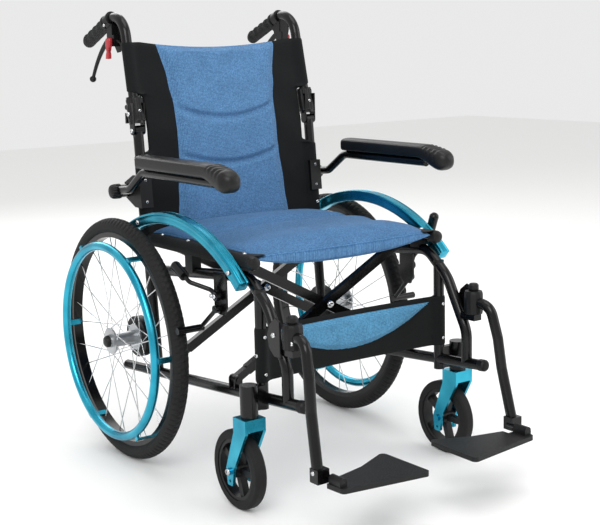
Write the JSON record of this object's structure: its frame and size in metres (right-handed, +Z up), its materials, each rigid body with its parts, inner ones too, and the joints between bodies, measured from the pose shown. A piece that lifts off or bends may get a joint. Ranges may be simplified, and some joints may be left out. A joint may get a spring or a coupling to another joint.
{
  "type": "manual wheelchair",
  "caption": "Folding manual wheelchair with large self-propelled rear wheels, front casters, flip-up armrests, padded sling seat and back, and swing-away footrests.",
  "frame": {"origin": "on the ground under the middle of the chair's outline", "axes": "+Z up, the front is -Y, the occupant's left is +X"},
  "size_m": [0.6604, 0.9866, 0.9502],
  "materials": {
    "black_frame": "satin powder coat",
    "teal_anodised": "bright teal anodised",
    "bright_steel": "polished",
    "hub_alloy": "satin",
    "black_plastic": "moulded, fine texture",
    "black_rubber": "matte",
    "tyre_rubber": "matte tread",
    "red_plastic": "gloss",
    "blue_mesh": "spacer mesh",
    "black_nylon": "woven nylon"
  },
  "bodies": {
    "right_frame_body": {"right_side_frame": "black_frame", "right_rail_saddles": "black_plastic", "right_fender": "teal_anodised", "right_armrest_bracket": "black_plastic", "right_hub_brake": "black_plastic", "right_wheel_lock_plate": "black_frame", "back_upholstery_lower": "blue_mesh", "calf_strap": "black_nylon"},
    "left_frame_body": {"left_side_frame": "black_frame", "left_rail_saddles": "black_plastic", "left_fender": "teal_anodised", "left_armrest_bracket": "black_plastic", "left_hub_brake": "black_plastic", "left_wheel_lock_plate": "black_frame"},
    "brace_right_body": {"cross_brace_right": "black_frame", "seat_pad": "blue_mesh"},
    "brace_left_body": {"cross_brace_left": "black_frame"},
    "right_back_body": {"right_back_cane": "black_frame", "right_push_grip": "black_rubber", "right_brake_bracket": "black_plastic", "right_brake_cable": "black_rubber", "back_upholstery_upper": "blue_mesh"},
    "right_back_latch_body": {"right_back_latch": "black_plastic"},
    "right_brake_lever_body": {"right_brake_lever": "black_frame"},
    "right_lock_tab_body": {"right_brake_lock_tab": "red_plastic"},
    "right_armrest_body": {"right_armrest_arm": "black_frame", "right_armrest_pad": "black_plastic"},
    "right_wheel_body": {"right_tyre": "tyre_rubber", "right_rim": "black_frame", "right_spokes": "bright_steel", "right_hub": "hub_alloy", "right_handrim": "teal_anodised"},
    "right_caster_fork_body": {"right_caster_fork": "teal_anodised"},
    "right_caster_wheel_body": {"right_caster_wheel": "black_plastic", "right_caster_tyre": "tyre_rubber"},
    "right_wheel_lock_lever_body": {"right_wheel_lock_lever": "black_frame"},
    "right_wheel_lock_shoe_body": {"right_wheel_lock_shoe": "black_frame"},
    "right_footrest_body": {"right_footrest_hanger": "black_frame"},
    "right_footplate_body": {"right_footplate": "black_plastic"},
    "left_back_body": {"left_back_cane": "black_frame", "left_push_grip": "black_rubber", "left_brake_bracket": "black_plastic", "left_brake_cable": "black_rubber"},
    "left_back_latch_body": {"left_back_latch": "black_plastic"},
    "left_brake_lever_body": {"left_brake_lever": "black_frame"},
    "left_lock_tab_body": {"left_brake_lock_tab": "red_plastic"},
    "left_armrest_body": {"left_armrest_arm": "black_frame", "left_armrest_pad": "black_plastic"},
    "left_wheel_body": {"left_tyre": "tyre_rubber", "left_rim": "black_frame", "left_spokes": "bright_steel", "left_hub": "hub_alloy", "left_handrim": "teal_anodised"},
    "left_caster_fork_body": {"left_caster_fork": "teal_anodised"},
    "left_caster_wheel_body": {"left_caster_wheel": "black_plastic", "left_caster_tyre": "tyre_rubber"},
    "left_wheel_lock_lever_body": {"left_wheel_lock_lever": "black_frame"},
    "left_wheel_lock_shoe_body": {"left_wheel_lock_shoe": "black_frame"},
    "left_footrest_body": {"left_footrest_hanger": "black_frame"},
    "left_footplate_body": {"left_footplate": "black_plastic"}
  },
  "joints": [
    {"name": "frame_fold", "type": "hinge", "parent": "right_frame_body", "child": "brace_right_body", "pos_m": [-0.222, 0, 0.233], "axis": [0, -1, 0], "range_deg": [0, 47], "deforming": ["seat_pad", "back_upholstery_lower", "back_upholstery_upper", "calf_strap"]},
    {"name": "brace_cross", "type": "hinge", "parent": "brace_right_body", "child": "brace_left_body", "pos_m": [0, 0, 0.353], "axis": [0, -1, 0], "range_deg": [-94, 0]},
    {"name": "left_frame_level", "type": "hinge", "parent": "brace_left_body", "child": "left_frame_body", "pos_m": [0.222, 0, 0.233], "axis": [0, -1, 0], "range_deg": [0, 47]},
    {"name": "right_back_fold", "type": "hinge", "parent": "right_frame_body", "child": "right_back_body", "pos_m": [-0.222, 0.243, 0.7], "axis": [-1, 0, 0], "range_deg": [0, 90]},
    {"name": "right_back_release", "type": "hinge", "parent": "right_back_body", "child": "right_back_latch_body", "pos_m": [-0.222, 0.2766, 0.748], "axis": [1, 0, 0], "range_deg": [0, 18], "stiffness_Nm_per_rad": 0.05},
    {"name": "right_brake_squeeze", "type": "hinge", "parent": "right_back_body", "child": "right_brake_lever_body", "pos_m": [-0.218, 0.3471, 0.90203], "axis": [1, 0, 0], "range_deg": [0, 18], "stiffness_Nm_per_rad": 0.8},
    {"name": "right_brake_park", "type": "hinge", "parent": "right_back_body", "child": "right_lock_tab_body", "pos_m": [-0.218, 0.3351, 0.88403], "axis": [-1, 0, 0], "range_deg": [0, 30]},
    {"name": "right_armrest_flip", "type": "hinge", "parent": "right_frame_body", "child": "right_armrest_body", "pos_m": [-0.222, 0.274, 0.572], "axis": [-1, 0, 0], "range_deg": [0, 80]},
    {"name": "right_wheel_spin", "type": "hinge", "parent": "right_frame_body", "child": "right_wheel_body", "pos_m": [-0.2855, 0.234, 0.26], "axis": [1, 0, 0], "continuous": true},
    {"name": "right_caster_swivel", "type": "hinge", "parent": "right_frame_body", "child": "right_caster_fork_body", "pos_m": [-0.262, -0.219, 0.22], "axis": [0, 0, 1], "continuous": true},
    {"name": "right_caster_spin", "type": "hinge", "parent": "right_caster_fork_body", "child": "right_caster_wheel_body", "pos_m": [-0.262, -0.18, 0.078], "axis": [1, 0, 0], "continuous": true},
    {"name": "right_wheel_lock", "type": "hinge", "parent": "right_frame_body", "child": "right_wheel_lock_lever_body", "pos_m": [-0.246, -0.091, 0.398], "axis": [1, 0, 0], "range_deg": [0, 85]},
    {"name": "right_lock_shoe", "type": "hinge", "parent": "right_frame_body", "child": "right_wheel_lock_shoe_body", "pos_m": [-0.246, -0.088, 0.372], "axis": [1, 0, 0], "range_deg": [-9, 0]},
    {"name": "right_footrest_swing", "type": "hinge", "parent": "right_frame_body", "child": "right_footrest_body", "pos_m": [-0.222, -0.31, 0.345], "axis": [0, 0, -1], "range_deg": [0, 90]},
    {"name": "right_footplate_flip", "type": "hinge", "parent": "right_footrest_body", "child": "right_footplate_body", "pos_m": [-0.226, -0.442, 0.121], "axis": [0, -1, 0], "range_deg": [0, 90]},
    {"name": "left_back_fold", "type": "hinge", "parent": "left_frame_body", "child": "left_back_body", "pos_m": [0.222, 0.243, 0.7], "axis": [-1, 0, 0], "range_deg": [0, 90]},
    {"name": "left_back_release", "type": "hinge", "parent": "left_back_body", "child": "left_back_latch_body", "pos_m": [0.222, 0.2766, 0.748], "axis": [1, 0, 0], "range_deg": [0, 18], "stiffness_Nm_per_rad": 0.05},
    {"name": "left_brake_squeeze", "type": "hinge", "parent": "left_back_body", "child": "left_brake_lever_body", "pos_m": [0.218, 0.3471, 0.90203], "axis": [1, 0, 0], "range_deg": [0, 18], "stiffness_Nm_per_rad": 0.8},
    {"name": "left_brake_park", "type": "hinge", "parent": "left_back_body", "child": "left_lock_tab_body", "pos_m": [0.218, 0.3351, 0.88403], "axis": [-1, 0, 0], "range_deg": [0, 30]},
    {"name": "left_armrest_flip", "type": "hinge", "parent": "left_frame_body", "child": "left_armrest_body", "pos_m": [0.222, 0.274, 0.572], "axis": [-1, 0, 0], "range_deg": [0, 80]},
    {"name": "left_wheel_spin", "type": "hinge", "parent": "left_frame_body", "child": "left_wheel_body", "pos_m": [0.2855, 0.234, 0.26], "axis": [1, 0, 0], "continuous": true},
    {"name": "left_caster_swivel", "type": "hinge", "parent": "left_frame_body", "child": "left_caster_fork_body", "pos_m": [0.262, -0.219, 0.22], "axis": [0, 0, 1], "continuous": true},
    {"name": "left_caster_spin", "type": "hinge", "parent": "left_caster_fork_body", "child": "left_caster_wheel_body", "pos_m": [0.262, -0.18, 0.078], "axis": [1, 0, 0], "continuous": true},
    {"name": "left_wheel_lock", "type": "hinge", "parent": "left_frame_body", "child": "left_wheel_lock_lever_body", "pos_m": [0.246, -0.091, 0.398], "axis": [1, 0, 0], "range_deg": [-85, 0]},
    {"name": "left_lock_shoe", "type": "hinge", "parent": "left_frame_body", "child": "left_wheel_lock_shoe_body", "pos_m": [0.246, -0.088, 0.372], "axis": [1, 0, 0], "range_deg": [0, 9]},
    {"name": "left_footrest_swing", "type": "hinge", "parent": "left_frame_body", "child": "left_footrest_body", "pos_m": [0.222, -0.31, 0.345], "axis": [0, 0, 1], "range_deg": [0, 90]},
    {"name": "left_footplate_flip", "type": "hinge", "parent": "left_footrest_body", "child": "left_footplate_body", "pos_m": [0.226, -0.442, 0.121], "axis": [0, 1, 0], "range_deg": [0, 90]}
  ],
  "couplings": [
    {"joint": "brace_cross", "follows": "frame_fold", "ratio": -2},
    {"joint": "left_frame_level", "follows": "frame_fold", "ratio": 1},
    {"joint": "right_lock_shoe", "follows": "right_wheel_lock", "ratio": -0.10588},
    {"joint": "right_footplate_flip", "follows": "frame_fold", "ratio": 1.9147},
    {"joint": "left_lock_shoe", "follows": "left_wheel_lock", "ratio": -0.10588},
    {"joint": "left_footplate_flip", "follows": "frame_fold", "ratio": 1.9147},
    {"joint": "left_back_fold", "follows": "right_back_fold", "ratio": 1}
  ]
}
